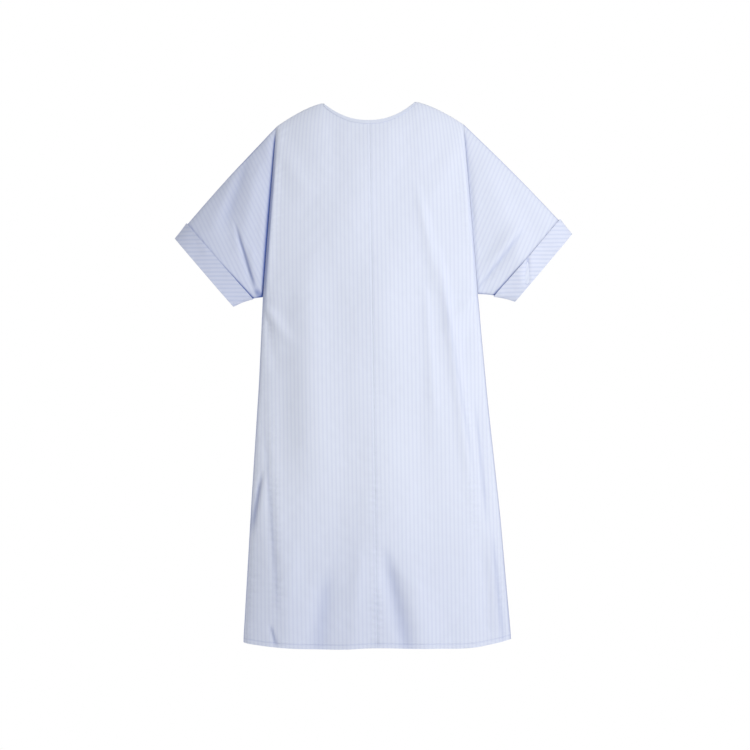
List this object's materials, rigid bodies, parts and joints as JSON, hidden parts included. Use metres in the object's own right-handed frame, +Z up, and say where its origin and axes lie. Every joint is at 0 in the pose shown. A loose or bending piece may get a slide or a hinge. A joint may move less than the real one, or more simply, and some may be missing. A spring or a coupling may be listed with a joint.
{
  "type": "patient gown",
  "caption": "Short-sleeved striped cotton patient gown, knee length, with turned-up cuffs, side pockets and a lapped back opening closed by press studs.",
  "frame": {"origin": "midway between the two neck points, on the line that lies on the wearer's shoulders or on a hanger", "axes": "+Z up, the gown's front faces -Y, +X towards the wearer's left"},
  "size_m": [0.8616, 0.1103, 1.18],
  "materials": {
    "striped_cotton": "light blue and white pinstriped cotton poplin, matt",
    "cuff_cotton": "the same striped poplin with its stripes across the cuff, matt",
    "plain_cotton": "plain pale blue cotton tape and facing, matt",
    "pocket_cotton": "plain pale cotton pocketing, matt",
    "stud_cap": "pearl white moulded cap, glossy",
    "stud_metal": "nickel-plated spring brass, satin"
  },
  "bodies": {
    "gown_front": {"front_panel_left": "striped_cotton", "front_panel_right": "striped_cotton", "neck_binding_front": "plain_cotton", "pocket_front_leaf_left": "pocket_cotton", "pocket_back_leaf_left": "pocket_cotton", "pocket_front_leaf_right": "pocket_cotton", "pocket_back_leaf_right": "pocket_cotton"},
    "sleeve_left_end": {"sleeve_left": "striped_cotton", "cuff_left": "cuff_cotton"},
    "sleeve_right_end": {"sleeve_right": "striped_cotton", "cuff_right": "cuff_cotton"},
    "back_left_flap": {"back_panel_left": "striped_cotton", "back_facing_left": "plain_cotton", "neck_binding_back_left": "plain_cotton", "stud_cap_1": "stud_cap", "stud_socket_1": "stud_metal", "stud_cap_2": "stud_cap", "stud_socket_2": "stud_metal", "stud_cap_3": "stud_cap", "stud_socket_3": "stud_metal", "stud_cap_4": "stud_cap", "stud_socket_4": "stud_metal"},
    "back_right_flap": {"back_panel_right": "striped_cotton", "back_facing_right": "plain_cotton", "neck_binding_back_right": "plain_cotton", "stud_ball_1": "stud_metal", "stud_post_1": "stud_metal", "stud_ball_2": "stud_metal", "stud_post_2": "stud_metal", "stud_ball_3": "stud_metal", "stud_post_3": "stud_metal", "stud_ball_4": "stud_metal", "stud_post_4": "stud_metal"}
  },
  "joints": [
    {"name": "back_left_open", "type": "hinge", "parent": "gown_front", "child": "back_left_flap", "pos_m": [0.234, 0.0075, -0.418], "axis": [0.0753, 0, -0.9972], "range_deg": [0, 80]},
    {"name": "back_right_open", "type": "hinge", "parent": "gown_front", "child": "back_right_flap", "pos_m": [-0.234, 0.0075, -0.418], "axis": [0.0753, 0, 0.9972], "range_deg": [0, 40]},
    {"name": "sleeve_left_forward", "type": "hinge", "parent": "gown_front", "child": "sleeve_left_end", "pos_m": [0.22, -0.0265, -0.234], "axis": [0, 0, -1], "range_deg": [0, 90]},
    {"name": "sleeve_right_forward", "type": "hinge", "parent": "gown_front", "child": "sleeve_right_end", "pos_m": [-0.22, -0.0265, -0.234], "axis": [0, 0, 1], "range_deg": [0, 90]}
  ],
  "couplings": [
    {"joint": "back_right_open", "follows": "back_left_open", "ratio": 0.5}
  ]
}
